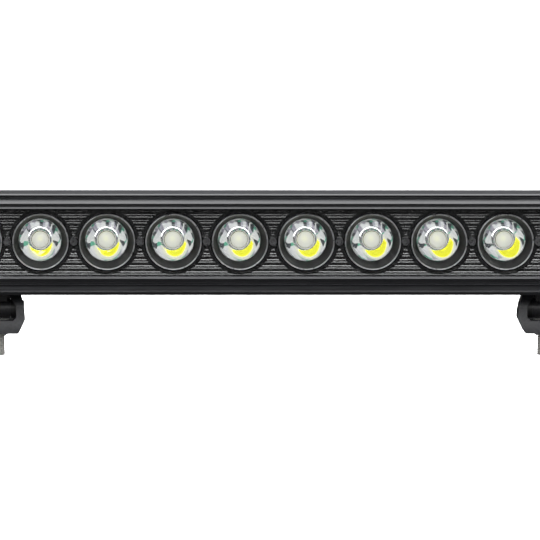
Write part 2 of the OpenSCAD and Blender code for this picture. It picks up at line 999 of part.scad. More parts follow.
module pivot_nut(side) {
    color("#3a3b3e")
        at_pivot(side, -nut_x - nut_t)
            difference() {
                cylinder(h = nut_t, r = nut_r, $fn = 6);
                translate([0, 0, -1])
                    cylinder(h = nut_t + 2, r = pivot_r + 0.01);
            }
}

module pivot_spacers(side) {
    spacer_l = window_half - barrel_half - 2 * gap;
    color("#101010")
        for (x = [-window_half + gap, barrel_half + gap])
            at_pivot(side, x)
                difference() {
                    cylinder(h = spacer_l, r = spacer_r);
                    translate([0, 0, -1])
                        cylinder(h = spacer_l + 2, r = pivot_r + gap);
                }
}

module stud(side) {
    color("#c4c4bf")
        translate([side * foot_x, 0, 0]) {
            translate([0, 0, window_floor_z - stud_head_h])
                cylinder(h = stud_head_h - gap, r = stud_head_r, $fn = 6);
            cylinder(h = window_floor_z - stud_head_h + 0.5, r = stud_shank_r);
            translate([0, 0, stud_chamfer - stud_l])
                cylinder(h = stud_l - stud_chamfer + 0.5, r = stud_r);
            translate([0, 0, -stud_l])
                cylinder(h = stud_chamfer, r1 = stud_r - stud_chamfer, r2 = stud_r);
        }
}

module stud_collar(side) {
    color("#b9b9b4")
        translate([side * foot_x, 0, 0])
            difference() {
                cylinder(h = collar_h, r1 = collar_bottom_r, r2 = collar_top_r);
                translate([0, 0, -1])
                    cylinder(h = collar_h + 2, r = stud_shank_r + gap);
            }
}

housing();
end_cap(-1);  // end_cap_left
end_cap(1);  // end_cap_right
end_gasket(-1);  // end_gasket_left
end_gasket(1);  // end_gasket_right
end_cap_screws();
face_plate();
face_plate_screws();
cups();
optics();
lens_cover();
lens_gaskets();
led_board();
led_packages();
led_domes();
led_board_screws();
thermal_pad();
driver_board();
driver_standoffs();
driver_screws();
driver_inductors();
driver_capacitors();
driver_chips();
driver_leads();
supply_leads();
inlet_body();
inlet_nut();
inlet_seal();
inlet_core();
inlet_pins();
breather_vent();
vent_seal();
shoe(-1);  // shoe_left
shoe_lock_screws(-1);  // shoe_lock_screws_left
foot(-1);  // foot_left
pivot_bolt(-1);  // pivot_bolt_left
pivot_nut(-1);  // pivot_nut_left
pivot_spacers(-1);  // pivot_spacers_left
stud(-1);  // stud_left
stud_collar(-1);  // stud_collar_left
shoe(1);  // shoe_right
shoe_lock_screws(1);  // shoe_lock_screws_right
foot(1);  // foot_right
pivot_bolt(1);  // pivot_bolt_right
pivot_nut(1);  // pivot_nut_right
pivot_spacers(1);  // pivot_spacers_right
stud(1);  // stud_right
stud_collar(1);  // stud_collar_right
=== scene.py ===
import bmesh
import bpy
import math
from mathutils import Matrix, Vector
from mathutils.geometry import tessellate_polygon


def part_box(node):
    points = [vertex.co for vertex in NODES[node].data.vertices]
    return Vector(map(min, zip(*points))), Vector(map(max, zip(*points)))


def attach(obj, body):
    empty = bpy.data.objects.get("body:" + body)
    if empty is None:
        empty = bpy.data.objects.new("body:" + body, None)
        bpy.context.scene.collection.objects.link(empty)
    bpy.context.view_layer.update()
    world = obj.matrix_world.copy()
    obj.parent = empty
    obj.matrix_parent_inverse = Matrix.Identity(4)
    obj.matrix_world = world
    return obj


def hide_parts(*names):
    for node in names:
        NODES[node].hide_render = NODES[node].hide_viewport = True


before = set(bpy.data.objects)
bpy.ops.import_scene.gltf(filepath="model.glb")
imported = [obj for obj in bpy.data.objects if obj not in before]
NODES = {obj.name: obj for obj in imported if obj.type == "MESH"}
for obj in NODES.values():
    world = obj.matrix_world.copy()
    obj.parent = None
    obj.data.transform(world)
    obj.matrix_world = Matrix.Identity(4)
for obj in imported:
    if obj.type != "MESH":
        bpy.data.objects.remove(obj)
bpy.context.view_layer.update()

MM = 0.001
SCENE = bpy.context.scene

# ---- Sizes and places in millimetres: the CAD's own, or read from its boxes ----

LED_PITCH = 40
LED_COUNT = 10
LIP_H = 11.4
HOUSING_LO, HOUSING_HI = (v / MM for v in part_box("housing"))
FRONT_Y = HOUSING_LO.y
HOUSING_L = HOUSING_HI.x - HOUSING_LO.x
MID_Z = (HOUSING_LO.z + HOUSING_HI.z) / 2
HALF_H = (HOUSING_HI.z - HOUSING_LO.z) / 2
FOOT_LO, FOOT_HI = (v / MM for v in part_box("foot_right"))
FOOT_X = (FOOT_LO.x + FOOT_HI.x) / 2
FLOOR_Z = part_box("stud_right")[0].z / MM
CHANNEL_HALF = HALF_H - LIP_H
BACK_WALL_Y = 25
BOARD_SEAT_D = 35
FACE_SCREW_R = 1.3
INLET_X, INLET_BORE_R = -150, 6.05
VENT_X, VENT_BORE_R = -116, 3.05
LED_XS = [(i - (LED_COUNT - 1) / 2) * LED_PITCH for i in range(LED_COUNT)]
BETWEEN_XS = [(i - LED_COUNT / 2) * LED_PITCH for i in range(LED_COUNT + 1)]
ALONG_Y = (0, 1, 0)
ALONG_Z = (0, 0, 1)


def at_front(x):
    """The point of the bar's mid-height line at x, in the plane of the lips' front."""
    return (x, FRONT_Y, MID_Z)


# ---- Outlines and meshes ----

def rounded(points, radius, steps=3):
    """A closed outline with its corners rounded, and at most 45% of an edge used at each corner."""
    out = []
    count = len(points)
    for i in range(count):
        p = Vector(points[i])
        a = Vector(points[i - 1]) - p
        b = Vector(points[(i + 1) % count]) - p
        r = radius(p) if callable(radius) else radius
        turn = a.angle(b)
        nearly_straight = math.pi - turn < 0.2
        if nearly_straight:
            out.append(p)
            continue
        cut = min(r / math.tan(turn / 2), a.length * 0.45, b.length * 0.45)
        start, end = p + a.normalized() * cut, p + b.normalized() * cut
        for k in range(steps + 1):
            t = k / steps
            out.append(start * (1 - t) ** 2 + p * 2 * t * (1 - t) + end * t ** 2)
    return out


def mesh_from(name, verts, faces):
    """A mesh in metres from vertices in millimetres."""
    mesh = bpy.data.meshes.new(name)
    mesh.from_pydata([Vector(v) * MM for v in verts], [], faces)
    mesh.validate()
    return mesh


def extruded(name, loops, x0, x1):
    """A closed prism along X from an outline and its holes, each a list of (y, z)."""
    verts = [(x, p[0], p[1]) for x in (x0, x1) for loop in loops for p in loop]
    total = sum(len(loop) for loop in loops)
    faces = []
    for tri in tessellate_polygon([[Vector((p[0], p[1], 0)) for p in loop] for loop in loops]):
        faces.append(tuple(tri))
        faces.append(tuple(i + total for i in reversed(tri)))
    start = 0
    for loop in loops:
        n = len(loop)
        for i in range(n):
            a, b = start + i, start + (i + 1) % n
            faces.append((a, b, b + total, a + total))
        start += n
    mesh = mesh_from(name, verts, faces)
    fix_normals(mesh)
    return mesh


def fix_normals(mesh):
    bm = bmesh.new()
    bm.from_mesh(mesh)
    bmesh.ops.recalc_face_normals(bm, faces=bm.faces)
    bm.to_mesh(mesh)
    bm.free()


def turned(profile, centre, axis, steps, closed=True, material=None):
    """Rings about an axis square to X, from a profile of (radius, height). A radius may be a
    function of the angle and the height. A closed profile also joins its last ring to its first.
    The material function turns a profile segment's number into its material's number. Returns
    vertices, faces and one material number per face."""
    z = Vector(axis)
    x = Vector((1, 0, 0))
    y = z.cross(x)
    centre = Vector(centre)
    verts, faces, mats = [], [], []
    rings = []
    for r, h in profile:
        if not callable(r) and r == 0:
            rings.append([len(verts)])
            verts.append(centre + z * h)
            continue
        ring = []
        for k in range(steps):
            a = 2 * math.pi * k / steps
            radius = r(a, h) if callable(r) else r
            ring.append(len(verts))
            verts.append(centre + z * h + (x * math.cos(a) + y * math.sin(a)) * radius)
        rings.append(ring)
    pairs = list(zip(rings, rings[1:]))
    if closed:
        pairs.append((rings[-1], rings[0]))
    for n, (lower, upper) in enumerate(pairs):
        if len(lower) == 1 and len(upper) == 1:
            continue
        for k in range(steps):
            j = (k + 1) % steps
            if len(lower) == 1:
                face = (lower[0], upper[k], upper[j])
            elif len(upper) == 1:
                face = (lower[k], upper[0], lower[j])
            else:
                face = (lower[k], upper[k], upper[j], lower[j])
            faces.append(face)
            mats.append(material(n) if material else 0)
    return verts, faces, mats


def merged(name, parts):
    """One mesh from several (vertices, faces, material numbers)."""
    verts, faces, mats = [], [], []
    for v, f, m in parts:
        start = len(verts)
        verts += v
        faces += [tuple(i + start for i in face) for face in f]
        mats += m
    mesh = mesh_from(name, verts, faces)
    if len(mesh.polygons) != len(mats):
        raise ValueError(name + " lost faces, so its materials would not line up")
    mesh.polygons.foreach_set("material_index", mats)
    fix_normals(mesh)
    return mesh


def smooth(mesh):
    """Shades the mesh smooth, and leaves edges sharper than 30 degrees hard."""
    bm = bmesh.new()
    bm.from_mesh(mesh)
    for face in bm.faces:
        face.smooth = True
    for edge in bm.edges:
        edge.smooth = len(edge.link_faces) == 2 and edge.calc_face_angle(0) < math.radians(30)
    bm.to_mesh(mesh)
    bm.free()


def piece(name, mesh, body, node, slot, *materials):
    """Adds a finished mesh to the scene: it rides the body and stands for the CAD node."""
    smooth(mesh)
    for material in materials:
        mesh.materials.append(material)
    obj = bpy.data.objects.new(name, mesh)
    SCENE.collection.objects.link(obj)
    normals = obj.modifiers.new("normals", "WEIGHTED_NORMAL")
    normals.keep_sharp = True
    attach(obj, body)
    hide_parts(node)
    return obj


def combine(mesh, tool, operation="DIFFERENCE"):
    """The mesh with the tool mesh cut away or added."""
    base = bpy.data.objects.new("base", mesh)
    other = bpy.data.objects.new("tool", tool)
    for obj in (base, other):
        SCENE.collection.objects.link(obj)
    step = base.modifiers.new("combine", "BOOLEAN")
    step.operation = operation
    step.solver = "EXACT"
    step.use_self = True
    step.object = other
    bpy.context.view_layer.update()
    depsgraph = bpy.context.evaluated_depsgraph_get()
    result = bpy.data.meshes.new_from_object(base.evaluated_get(depsgraph))
    result.name = mesh.name
    for obj in (base, other):
        bpy.data.objects.remove(obj)
    return result


def rods(places, radius, d0, d1, steps=48):
    """Cylinders along Y from depth d0 to d1 behind each place, as one mesh, for cutting."""
    return turned_set("rods", [(0, d0), (radius, d0), (radius, d1), (0, d1)], places, steps)


def turned_set(name, profile, places, steps):
    """The same solid turned about Y at each place, as one mesh. Its profile ends on the axis."""
    return merged(name, [turned(profile, p, ALONG_Y, steps, closed=False) for p in places])


def section(node, x):
    """The outline and holes of a CAD node's end face in the plane at x, as loops of (y, z) in mm."""
    bm = bmesh.new()
    bm.from_mesh(NODES[node].data)
    bmesh.ops.remove_doubles(bm, verts=bm.verts, dist=1e-6)
    flat = [f for f in bm.faces if all(abs(v.co.x / MM - x) < 0.01 for v in f.verts)]
    inside = set(flat)
    unused = {e for f in flat for e in f.edges if sum(g in inside for g in e.link_faces) == 1}
    loops = []
    while unused:
        edge = unused.pop()
        first, current = edge.verts
        loop = [first, current]
        while True:
            following = next((e for e in current.link_edges if e in unused), None)
            if following is None:
                break
            unused.discard(following)
            current = following.other_vert(current)
            if current is first:
                break
            loop.append(current)
        loops.append([Vector((v.co.y / MM, v.co.z / MM)) for v in loop])
    bm.free()
    loops = [without_straights(loop) for loop in loops if len(loop) > 2]
    loops.sort(key=lambda loop: -abs(area(loop)))
    return loops


def area(loop):
    return sum(a.x * b.y - b.x * a.y for a, b in zip(loop, loop[1:] + loop[:1])) / 2


def without_straights(loop):
    """The loop without its doubled points and the points within a straight edge."""
    out = []
    for i, p in enumerate(loop):
        a, b = loop[i - 1], loop[(i + 1) % len(loop)]
        if (p - a).length > 1e-4 and abs((p - a).cross(b - p)) > 1e-4 * (b - a).length:
            out.append(p)
    return out


def bevelled(node, width):
    """A copy of a CAD node's mesh with its edges sharper than 35 degrees rounded."""
    bm = bmesh.new()
    bm.from_mesh(NODES[node].data)
    bmesh.ops.remove_doubles(bm, verts=bm.verts, dist=2e-6)
    bmesh.ops.dissolve_limit(
        bm, angle_limit=math.radians(0.5), verts=bm.verts, edges=bm.edges
    )
    sharp = [
        e for e in bm.edges
        if len(e.link_faces) == 2 and e.calc_face_angle(0) > math.radians(35)
    ]
    bmesh.ops.bevel(
        bm, geom=sharp, offset=width * MM, offset_type="OFFSET", segments=2,
        profile=0.5, affect="EDGES", clamp_overlap=True,
    )
    mesh = bpy.data.meshes.new(node)
    bm.to_mesh(mesh)
    bm.free()
    return mesh


# ---- Materials ----

def empty_tree(owner):
    """The cleared node tree of a material or a world, with its nodes and links."""
    owner.use_nodes = True
    tree = owner.node_tree
    tree.nodes.clear()
    return tree, tree.nodes, tree.links


def maths(tree, operation, a, b=0.0):
    """A math node over two inputs, each a number or another node's output."""
    node = tree.nodes.new("ShaderNodeMath")
    node.operation = operation
    for socket, value in ((node.inputs[0], a), (node.inputs[1], b)):
        if isinstance(value, (int, float)):
            socket.default_value = value
        else:
            tree.links.new(value, socket)
    return node.outputs["Value"]


def noise(tree, scale, stretch=(1, 1, 1), detail=4):
    """A noise in object coordinates. The scale is cells per metre, and stretch is per axis."""
    where = tree.nodes.new("ShaderNodeTexCoord")
    mapping = tree.nodes.new("ShaderNodeMapping")
    mapping.inputs["Scale"].default_value = [scale * s for s in stretch]
    tex = tree.nodes.new("ShaderNodeTexNoise")
    tex.inputs["Scale"].default_value = 1
    tex.inputs["Detail"].default_value = detail
    tree.links.new(where.outputs["Object"], mapping.inputs["Vector"])
    tree.links.new(mapping.outputs["Vector"], tex.inputs["Vector"])
    return tex.outputs["Fac"]


def spread(tree, value, low, high, start=0.3, end=0.7):
    """Maps a value between start and end, where a noise mostly lies, to a range of numbers."""
    node = tree.nodes.new("ShaderNodeMapRange")
    node.inputs["From Min"].default_value = start
    node.inputs["From Max"].default_value = end
    node.inputs["To Min"].default_value = low
    node.inputs["To Max"].default_value = high
    tree.links.new(value, node.inputs["Value"])
    return node.outputs["Result"]


def tint(tree, value, low, high):
    """A colour between low and high, by a value from 0 to 1."""
    node = tree.nodes.new("ShaderNodeMix")
    node.data_type = "RGBA"
    node.inputs["A"].default_value = (*low, 1)
    node.inputs["B"].default_value = (*high, 1)
    tree.links.new(value, node.inputs["Factor"])
    return node.outputs["Result"]


def surface(name, low, high, rough=(0.3, 0.4), metal=0.0, grain=900, stretch=(1, 1, 1),
            bump=0.05, bump_scale=6000, bump_stretch=(1, 1, 1), specular=0.5, painted_glow=0.0):
    """A solid material: colour and roughness vary with one noise, and a finer one is its grain."""
    material = bpy.data.materials.new(name)
    tree, nodes, links = empty_tree(material)
    out = nodes.new("ShaderNodeOutputMaterial")
    bsdf = nodes.new("ShaderNodeBsdfPrincipled")
    cloud = noise(tree, grain, stretch)
    colour = tint(tree, spread(tree, cloud, 0, 1), low, high)
    links.new(colour, bsdf.inputs["Base Color"])
    links.new(spread(tree, cloud, *rough), bsdf.inputs["Roughness"])
    # painted glow: the colour also shines as light, though the part is no lamp
    if painted_glow:
        links.new(colour, bsdf.inputs["Emission Color"])
        bsdf.inputs["Emission Strength"].default_value = painted_glow
    bsdf.inputs["Metallic"].default_value = metal
    bsdf.inputs["Specular IOR Level"].default_value = specular
    if bump:
        node = nodes.new("ShaderNodeBump")
        node.inputs["Strength"].default_value = bump
        node.inputs["Distance"].default_value = 0.0001
        links.new(noise(tree, bump_scale, bump_stretch, detail=2), node.inputs["Height"])
        links.new(node.outputs["Normal"], bsdf.inputs["Normal"])
    links.new(bsdf.outputs["BSDF"], out.inputs["Surface"])
    return material


def clear(name, colour, rough=0.0, ior=1.49):
    """Solid clear plastic with faint moulding haze. Shadow rays and diffuse rays go straight
    through it, so that the lamps reach the LEDs and boards behind it, and their painted glow fills
    the cups."""
    material = bpy.data.materials.new(name)
    tree, nodes, links = empty_tree(material)
    out = nodes.new("ShaderNodeOutputMaterial")
    bsdf = nodes.new("ShaderNodeBsdfPrincipled")
    through = nodes.new("ShaderNodeBsdfTransparent")
    mix = nodes.new("ShaderNodeMixShader")
    path = nodes.new("ShaderNodeLightPath")
    haze = noise(tree, 150)
    links.new(spread(tree, haze, rough, rough + 0.02), bsdf.inputs["Roughness"])
    links.new(tint(tree, haze, colour, (1, 1, 1)), bsdf.inputs["Base Color"])
    bsdf.inputs["Transmission Weight"].default_value = 1
    bsdf.inputs["IOR"].default_value = ior
    straight = maths(tree, "MAXIMUM", path.outputs["Is Shadow Ray"], path.outputs["Is Diffuse Ray"])
    links.new(straight, mix.inputs["Fac"])
    links.new(bsdf.outputs["BSDF"], mix.inputs[1])
    links.new(through.outputs["BSDF"], mix.inputs[2])
    links.new(mix.outputs["Shader"], out.inputs["Surface"])
    return material


def frosted(name, colour, painted_glow):
    """Etched clear plastic: 40% of the light goes through, and 60% scatters at the surface, which
    shines with a painted glow in the given colour.
    """
    material = clear(name, colour, rough=0.4)
    tree = material.node_tree
    nodes, links = tree.nodes, tree.links
    out = next(n for n in nodes if n.type == "OUTPUT_MATERIAL")
    body = out.inputs["Surface"].links[0].from_socket
    skin = nodes.new("ShaderNodeBsdfPrincipled")
    links.new(tint(tree, noise(tree, 1500), colour, (1, 1, 1)), skin.inputs["Base Color"])
    skin.inputs["Roughness"].default_value = 0.4
    skin.inputs["Emission Color"].default_value = (*colour, 1)
    skin.inputs["Emission Strength"].default_value = painted_glow
    mix = nodes.new("ShaderNodeMixShader")
    mix.inputs["Fac"].default_value = 0.6
    links.new(body, mix.inputs[1])
    links.new(skin.outputs["BSDF"], mix.inputs[2])
    links.new(mix.outputs["Shader"], out.inputs["Surface"])
    return material


def pane(name):
    """The flat cover: clear straight through, with a faint mirror of the room."""
    material = bpy.data.materials.new(name)
    tree, nodes, links = empty_tree(material)
    out = nodes.new("ShaderNodeOutputMaterial")
    through = nodes.new("ShaderNodeBsdfTransparent")
    mirror = nodes.new("ShaderNodeBsdfGlossy")
    mix = nodes.new("ShaderNodeMixShader")
    facing = nodes.new("ShaderNodeLayerWeight")
    facing.inputs["Blend"].default_value = 0.5
    haze = noise(tree, 60)
    links.new(spread(tree, haze, 0.02, 0.05), mirror.inputs["Roughness"])
    links.new(tint(tree, haze, (0.985, 0.99, 0.99), (1, 1, 1)), through.inputs["Color"])
    # the gloss is the same from outside and from inside the sheet, so it never turns into a
    # full mirror: 0.2% head-on, and rising steeply near a grazing view
    grazing = maths(tree, "MULTIPLY", maths(tree, "POWER", facing.outputs["Facing"], 5), 0.9)
    links.new(maths(tree, "ADD", grazing, 0.002), mix.inputs["Fac"])
    links.new(through.outputs["BSDF"], mix.inputs[1])
    links.new(mirror.outputs["BSDF"], mix.inputs[2])
    links.new(mix.outputs["Shader"], out.inputs["Surface"])
    return material


def from_led(tree):
    """The place from the nearest LED, as (along the bar, up), and the distance, in metres."""
    where = tree.nodes.new("ShaderNodeTexCoord")
    split = tree.nodes.new("ShaderNodeSeparateXYZ")
    tree.links.new(where.outputs["Object"], split.inputs["Vector"])
    pitch = LED_PITCH * MM
    along = maths(tree, "FLOORED_MODULO", split.outputs["X"], pitch)
    along = maths(tree, "SUBTRACT", along, pitch / 2)
    above = maths(tree, "SUBTRACT", split.outputs["Z"], MID_Z * MM)
    square = maths(tree, "MULTIPLY", along, along)
    square = maths(tree, "ADD", square, maths(tree, "MULTIPLY", above, above))
    place = tree.nodes.new("ShaderNodeCombineXYZ")
    tree.links.new(along, place.inputs["X"])
    tree.links.new(above, place.inputs["Y"])
    return place.outputs["Vector"], maths(tree, "SQRT", square)


def pads_and_painted_reflections(tree, place):
    """Flat patches round an LED in the listed colours: partly pads, solder and mask, and partly
    painted reflections of the lit room in white and lilac grey.
    """
    cells = tree.nodes.new("ShaderNodeTexVoronoi")
    cells.inputs["Scale"].default_value = PATCHES_PER_METRE
    moved = tree.nodes.new("ShaderNodeVectorMath")
    moved.inputs[1].default_value = PATCH_SHIFT
    ramp = tree.nodes.new("ShaderNodeValToRGB")
    ramp.color_ramp.interpolation = "CONSTANT"
    stops = ramp.color_ramp.elements
    while len(stops) < len(PADS_AND_REFLECTIONS):
        stops.new(0.5)
    for stop, (start, colour) in zip(stops, PADS_AND_REFLECTIONS):
        stop.position = start
        stop.color = (*colour, 1)
    tree.links.new(place, moved.inputs[0])
    tree.links.new(moved.outputs["Vector"], cells.inputs["Vector"])
    tree.links.new(cells.outputs["Color"], ramp.inputs["Fac"])
    return ramp.outputs["Color"]


def led_plane(name, low, high, patch_from, patch_to, painted_glow):
    """A plain material with patches in a ring round each LED, from one radius to another in mm. The
    colour, patches too, shines with a painted glow.
    """
    material = surface(name, low, high, rough=(0.35, 0.5), grain=900, painted_glow=painted_glow)
    tree = material.node_tree
    bsdf = next(n for n in tree.nodes if n.type == "BSDF_PRINCIPLED")
    plain = bsdf.inputs["Base Color"].links[0].from_socket
    place, far = from_led(tree)
    ring = maths(
        tree, "MULTIPLY", maths(tree, "GREATER_THAN", far, patch_from * MM),
        maths(tree, "LESS_THAN", far, patch_to * MM),
    )
    mix = tree.nodes.new("ShaderNodeMix")
    mix.data_type = "RGBA"
    tree.links.new(ring, mix.inputs["Factor"])
    tree.links.new(plain, mix.inputs["A"])
    tree.links.new(pads_and_painted_reflections(tree, place), mix.inputs["B"])
    tree.links.new(mix.outputs["Result"], bsdf.inputs["Base Color"])
    tree.links.new(mix.outputs["Result"], bsdf.inputs["Emission Color"])
    return material


ANODISED = surface(
    "anodised_black", (0.010, 0.0105, 0.012), (0.020, 0.021, 0.024), rough=(0.30, 0.42),
    grain=400, stretch=(0.05, 1, 1), bump=0.05, bump_scale=5000, bump_stretch=(0.02, 1, 1),
    specular=0.42,
)
CAP_BLACK = surface(
    "cap_black", (0.010, 0.010, 0.011), (0.018, 0.018, 0.020), rough=(0.35, 0.48),
    grain=700, bump=0.25, bump_scale=7000,
)
RUBBER = surface("seal_rubber", (0.008, 0.008, 0.008), (0.02, 0.02, 0.02), rough=(0.6, 0.8))
BLACK_STEEL = surface(
    "black_steel", (0.015, 0.015, 0.017), (0.04, 0.04, 0.045), rough=(0.25, 0.45), metal=0.6,
)
PLATE = surface(
    "plate_plastic", (0.003, 0.003, 0.0032), (0.006, 0.006, 0.0063), rough=(0.20, 0.24),
    grain=300, bump=0.0, specular=0.75,
)
SCREW_STEEL = surface(
    "plate_screw_steel", (0.08, 0.08, 0.082), (0.16, 0.16, 0.165), rough=(0.25, 0.4), metal=0.8,
)
CUP = surface(
    "cup_plastic", (0.006, 0.006, 0.0065), (0.010, 0.010, 0.011), rough=(0.28, 0.33),
    grain=300, bump=0.0, specular=0.04,
)
# painted highlight: light grey metal on the lip of each black cup rim, standing in for its highlight
RIM_HIGHLIGHT = surface(
    "cup_rim_painted_highlight", (0.34, 0.34, 0.35), (0.50, 0.50, 0.51), rough=(0.25, 0.4), metal=0.9, grain=500,
)
# painted glow: the domes shine cream, as if lit from behind
FROSTED = frosted("frosted_dome", (0.90, 0.90, 0.78), painted_glow=0.65)
# painted shade: a dark ring in the slit round each dome draws its shadowed outline
GROOVE_SHADE = surface("groove_painted_shade", (0.02, 0.03, 0.028), (0.10, 0.13, 0.12), rough=(0.3, 0.5))
OPTIC = clear("clear_optic", (0.97, 0.985, 0.99))
COVER = pane("clear_cover")
# painted glow: the yellow phosphor shines as if lit, though it is no lamp
PHOSPHOR = surface(
    "led_phosphor", (0.90, 0.88, 0.03), (1.0, 1.0, 0.06), rough=(0.5, 0.6), painted_glow=0.8,
)
SILICONE = clear("led_silicone", (0.97, 0.97, 0.95), ior=1.41)
ZINC = surface(
    "zinc_steel", (0.5, 0.5, 0.48), (0.68, 0.67, 0.64), rough=(0.22, 0.38), metal=1,
)
PAD = surface("pad_silicone", (0.22, 0.24, 0.26), (0.30, 0.32, 0.34), rough=(0.6, 0.7))
COPPER = surface("inductor_copper", (0.45, 0.16, 0.06), (0.62, 0.26, 0.12), metal=1)
CAPACITOR = surface("capacitor_can", (0.02, 0.022, 0.03), (0.04, 0.044, 0.055))
CHIP = surface("chip_plastic", (0.012, 0.012, 0.012), (0.02, 0.02, 0.02), rough=(0.4, 0.6))

# the patches' colours, each from its share of the pattern up to the next one's; the white and lilac
# grey ones are painted reflections of the lit room
PADS_AND_REFLECTIONS = [
    (0.0, (0.88, 0.89, 0.88)), (0.34, (0.16, 0.50, 0.36)), (0.45, (0.42, 0.40, 0.47)),
    (0.53, (0.85, 0.86, 0.87)), (0.68, (0.08, 0.09, 0.10)), (0.79, (0.52, 0.50, 0.57)),
    (0.88, (0.86, 0.88, 0.88)),
]
PATCHES_PER_METRE = 1400
PATCH_SHIFT = (0.31, 0.17, 0)
# painted glow: the green board and the white ceramic shine a little, so that the inside of each lens
# looks lit
BOARD = led_plane(
    "board_green", (0.03, 0.26, 0.18), (0.05, 0.36, 0.26), patch_from=1.0, patch_to=9, painted_glow=0.2,
)
CERAMIC = led_plane(
    "led_ceramic", (0.88, 0.89, 0.80), (0.96, 0.96, 0.86), patch_from=1.4, patch_to=3.0, painted_glow=0.6,
)
LEAD_RED = surface("lead_red", (0.45, 0.02, 0.02), (0.6, 0.05, 0.04))
LEAD_BLACK = surface("lead_black", (0.01, 0.01, 0.01), (0.025, 0.025, 0.025))
INLET_METAL = surface(
    "inlet_metal", (0.10, 0.10, 0.105), (0.16, 0.16, 0.165), rough=(0.3, 0.42), metal=0.8,
)
BRASS = surface("pin_brass", (0.6, 0.42, 0.14), (0.75, 0.55, 0.22), metal=1)
SHOE_BLACK = surface(
    "shoe_black", (0.015, 0.015, 0.017), (0.03, 0.03, 0.033), rough=(0.3, 0.42),
)
FOOT_BLACK = surface(
    "foot_black", (0.034, 0.035, 0.039), (0.055, 0.056, 0.062), rough=(0.36, 0.48),
    grain=600, bump=0.3, bump_scale=5000,
)
SPACER = surface("spacer_nylon", (0.01, 0.01, 0.01), (0.02, 0.02, 0.02), rough=(0.4, 0.5))
STUD = surface(
    "stud_steel", (0.52, 0.51, 0.48), (0.72, 0.71, 0.67), rough=(0.2, 0.35), metal=0.2,
)
COLLAR = surface(
    "collar_zinc", (0.60, 0.60, 0.58), (0.80, 0.80, 0.77), rough=(0.2, 0.32), metal=0.2,
)

CARRIED = {
    "cap_black": CAP_BLACK, "anodised_black": ANODISED, "seal_rubber": RUBBER,
    "black_steel": BLACK_STEEL, "plate_plastic": PLATE, "plate_screw_steel": SCREW_STEEL,
    "cup_plastic": CUP, "clear_optic": OPTIC, "clear_cover": COVER, "board_green": BOARD,
    "led_ceramic": CERAMIC, "led_silicone": SILICONE, "zinc_steel": ZINC, "pad_silicone": PAD,
    "inductor_copper": COPPER, "capacitor_can": CAPACITOR, "chip_plastic": CHIP,
    "lead_red": LEAD_RED, "lead_black": LEAD_BLACK, "inlet_metal": INLET_METAL,
    "pin_brass": BRASS, "shoe_black": SHOE_BLACK, "foot_black": FOOT_BLACK,
    "spacer_nylon": SPACER, "stud_steel": STUD, "collar_zinc": COLLAR,
}


# ---- Housing: the CAD's own section, with every edge of its outline rounded ----

LIP_D = 11
SCREW_HOLE_END_D = 41.5
INLET_CLEARANCE_R, VENT_CLEARANCE_R = 13, 8
PAST_FINS, THROUGH_WALL = 20, -4


def housing_edge(p):
    """The radius of an edge: finer on the grooved front lips than on the fins behind them."""
    return 0.22 if p.x < FRONT_Y + LIP_D else 0.4


def make_housing():
    loops = section("housing", HOUSING_LO.x)
    outline = [rounded(loops[0], housing_edge)] + loops[1:]
    mesh = extruded("housing", outline, HOUSING_LO.x, HOUSING_HI.x)
    inlet = (INLET_X, BACK_WALL_Y, MID_Z)
    vent = (VENT_X, BACK_WALL_Y, MID_Z)
    screws = [at_front(x) for x in BETWEEN_XS]
    cuts = [
        rods(screws, FACE_SCREW_R, BOARD_SEAT_D, SCREW_HOLE_END_D),
        rods([inlet], INLET_CLEARANCE_R, 0, PAST_FINS),
        rods([vent], VENT_CLEARANCE_R, 0, PAST_FINS),
        rods([inlet], INLET_BORE_R, THROUGH_WALL, 1),
        rods([vent], VENT_BORE_R, THROUGH_WALL, 1),
    ]
    for cut in cuts:
        mesh = combine(mesh, cut)
    return piece("housing_extrusion", mesh, "light_bar", "housing", "anodised_black", ANODISED)


make_housing()


# ---- Face plate: stepped ribs cut by a moat round every cup, and a boss for every screw ----

RIB_COUNT = 5
RIB_PITCH = 3.6
RIB_FACE = 2.5
RIB_STEP = 0.9
GROOVE_D = 1.8
TOP_RIB_D = 7.4
PLATE_FLOOR_D = 11.9
PLATE_BACK_D = 15
PLATE_HALF = CHANNEL_HALF - 0.15
PLATE_HALF_L = HOUSING_L / 2 - 1
MOAT_R, MOAT_D = 19.6, 13.2
CUP_HOLE_R = 17.0


